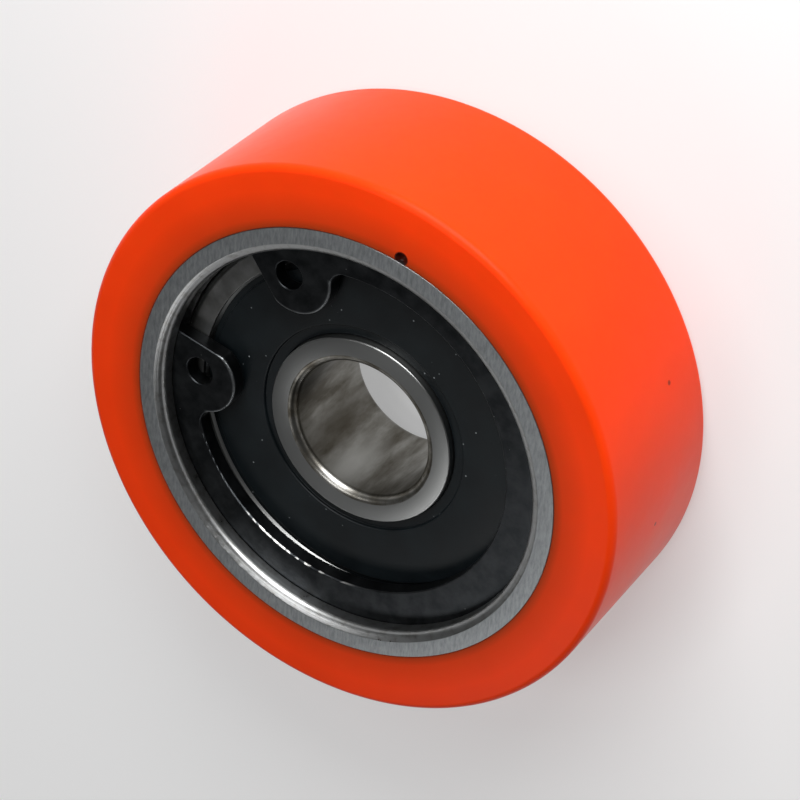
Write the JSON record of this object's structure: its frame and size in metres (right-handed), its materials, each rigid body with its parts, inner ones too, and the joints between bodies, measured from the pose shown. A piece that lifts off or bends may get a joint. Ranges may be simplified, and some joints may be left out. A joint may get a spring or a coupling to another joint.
{
  "type": "polyurethane tracking wheel",
  "caption": "Small track wheel: a cast polyurethane tyre on a turned steel hub, running on a sealed ball bearing that a retaining ring holds in the hub.",
  "frame": {"origin": "centre of the wheel, on its axis at half the tread width", "axes": "+Z along the axis towards the side with the retaining ring, the side away from the surface that the wheel lies on; +X midway between the two ends of the retaining ring"},
  "size_m": [0.06, 0.06, 0.02],
  "materials": {
    "tyre": "glossy cast orange polyurethane",
    "turned_steel": "turned and ground bare steel",
    "spring_steel": "black-oxidised spring steel, oiled",
    "bearing_steel": "fine-ground bearing steel",
    "seal_rubber": "blue-black moulded nitrile rubber",
    "cage_steel": "pressed bright steel strip"
  },
  "bodies": {
    "axle_side": {"inner_ring": "bearing_steel"},
    "wheel": {"tyre": "tyre", "hub": "turned_steel", "retaining_ring": "spring_steel", "outer_ring": "bearing_steel", "front_seal": "seal_rubber", "rear_seal": "seal_rubber"},
    "cage": {"cage_front_half": "cage_steel", "cage_rear_half": "cage_steel", "cage_rivet_1": "cage_steel", "cage_rivet_2": "cage_steel", "cage_rivet_3": "cage_steel", "cage_rivet_4": "cage_steel", "cage_rivet_5": "cage_steel", "cage_rivet_6": "cage_steel", "cage_rivet_7": "cage_steel"},
    "ball_1_body": {"ball_1": "bearing_steel"},
    "ball_2_body": {"ball_2": "bearing_steel"},
    "ball_3_body": {"ball_3": "bearing_steel"},
    "ball_4_body": {"ball_4": "bearing_steel"},
    "ball_5_body": {"ball_5": "bearing_steel"},
    "ball_6_body": {"ball_6": "bearing_steel"},
    "ball_7_body": {"ball_7": "bearing_steel"}
  },
  "joints": [
    {"name": "wheel_spin", "type": "hinge", "parent": "axle_side", "child": "wheel", "pos_m": [0, 0, -0.0003], "axis": [0, 0, 1], "continuous": true},
    {"name": "cage_spin", "type": "hinge", "parent": "axle_side", "child": "cage", "pos_m": [0, 0, -0.0003], "axis": [0, 0, 1], "continuous": true},
    {"name": "ball_1_spin", "type": "hinge", "parent": "cage", "child": "ball_1_body", "pos_m": [0.01425, 0, -0.0003], "axis": [0, 0, 1], "continuous": true},
    {"name": "ball_2_spin", "type": "hinge", "parent": "cage", "child": "ball_2_body", "pos_m": [0.00888, 0.01114, -0.0003], "axis": [0, 0, 1], "continuous": true},
    {"name": "ball_3_spin", "type": "hinge", "parent": "cage", "child": "ball_3_body", "pos_m": [-0.00317, 0.01389, -0.0003], "axis": [0, 0, 1], "continuous": true},
    {"name": "ball_4_spin", "type": "hinge", "parent": "cage", "child": "ball_4_body", "pos_m": [-0.01284, 0.00618, -0.0003], "axis": [0, 0, 1], "continuous": true},
    {"name": "ball_5_spin", "type": "hinge", "parent": "cage", "child": "ball_5_body", "pos_m": [-0.01284, -0.00618, -0.0003], "axis": [0, 0, 1], "continuous": true},
    {"name": "ball_6_spin", "type": "hinge", "parent": "cage", "child": "ball_6_body", "pos_m": [-0.00317, -0.01389, -0.0003], "axis": [0, 0, 1], "continuous": true},
    {"name": "ball_7_spin", "type": "hinge", "parent": "cage", "child": "ball_7_body", "pos_m": [0.00888, -0.01114, -0.0003], "axis": [0, 0, 1], "continuous": true}
  ],
  "couplings": [
    {"joint": "cage_spin", "follows": "wheel_spin", "ratio": 0.63926},
    {"joint": "ball_1_spin", "follows": "wheel_spin", "ratio": 1.6559},
    {"joint": "ball_2_spin", "follows": "wheel_spin", "ratio": 1.6559},
    {"joint": "ball_3_spin", "follows": "wheel_spin", "ratio": 1.6559},
    {"joint": "ball_4_spin", "follows": "wheel_spin", "ratio": 1.6559},
    {"joint": "ball_5_spin", "follows": "wheel_spin", "ratio": 1.6559},
    {"joint": "ball_6_spin", "follows": "wheel_spin", "ratio": 1.6559},
    {"joint": "ball_7_spin", "follows": "wheel_spin", "ratio": 1.6559}
  ]
}
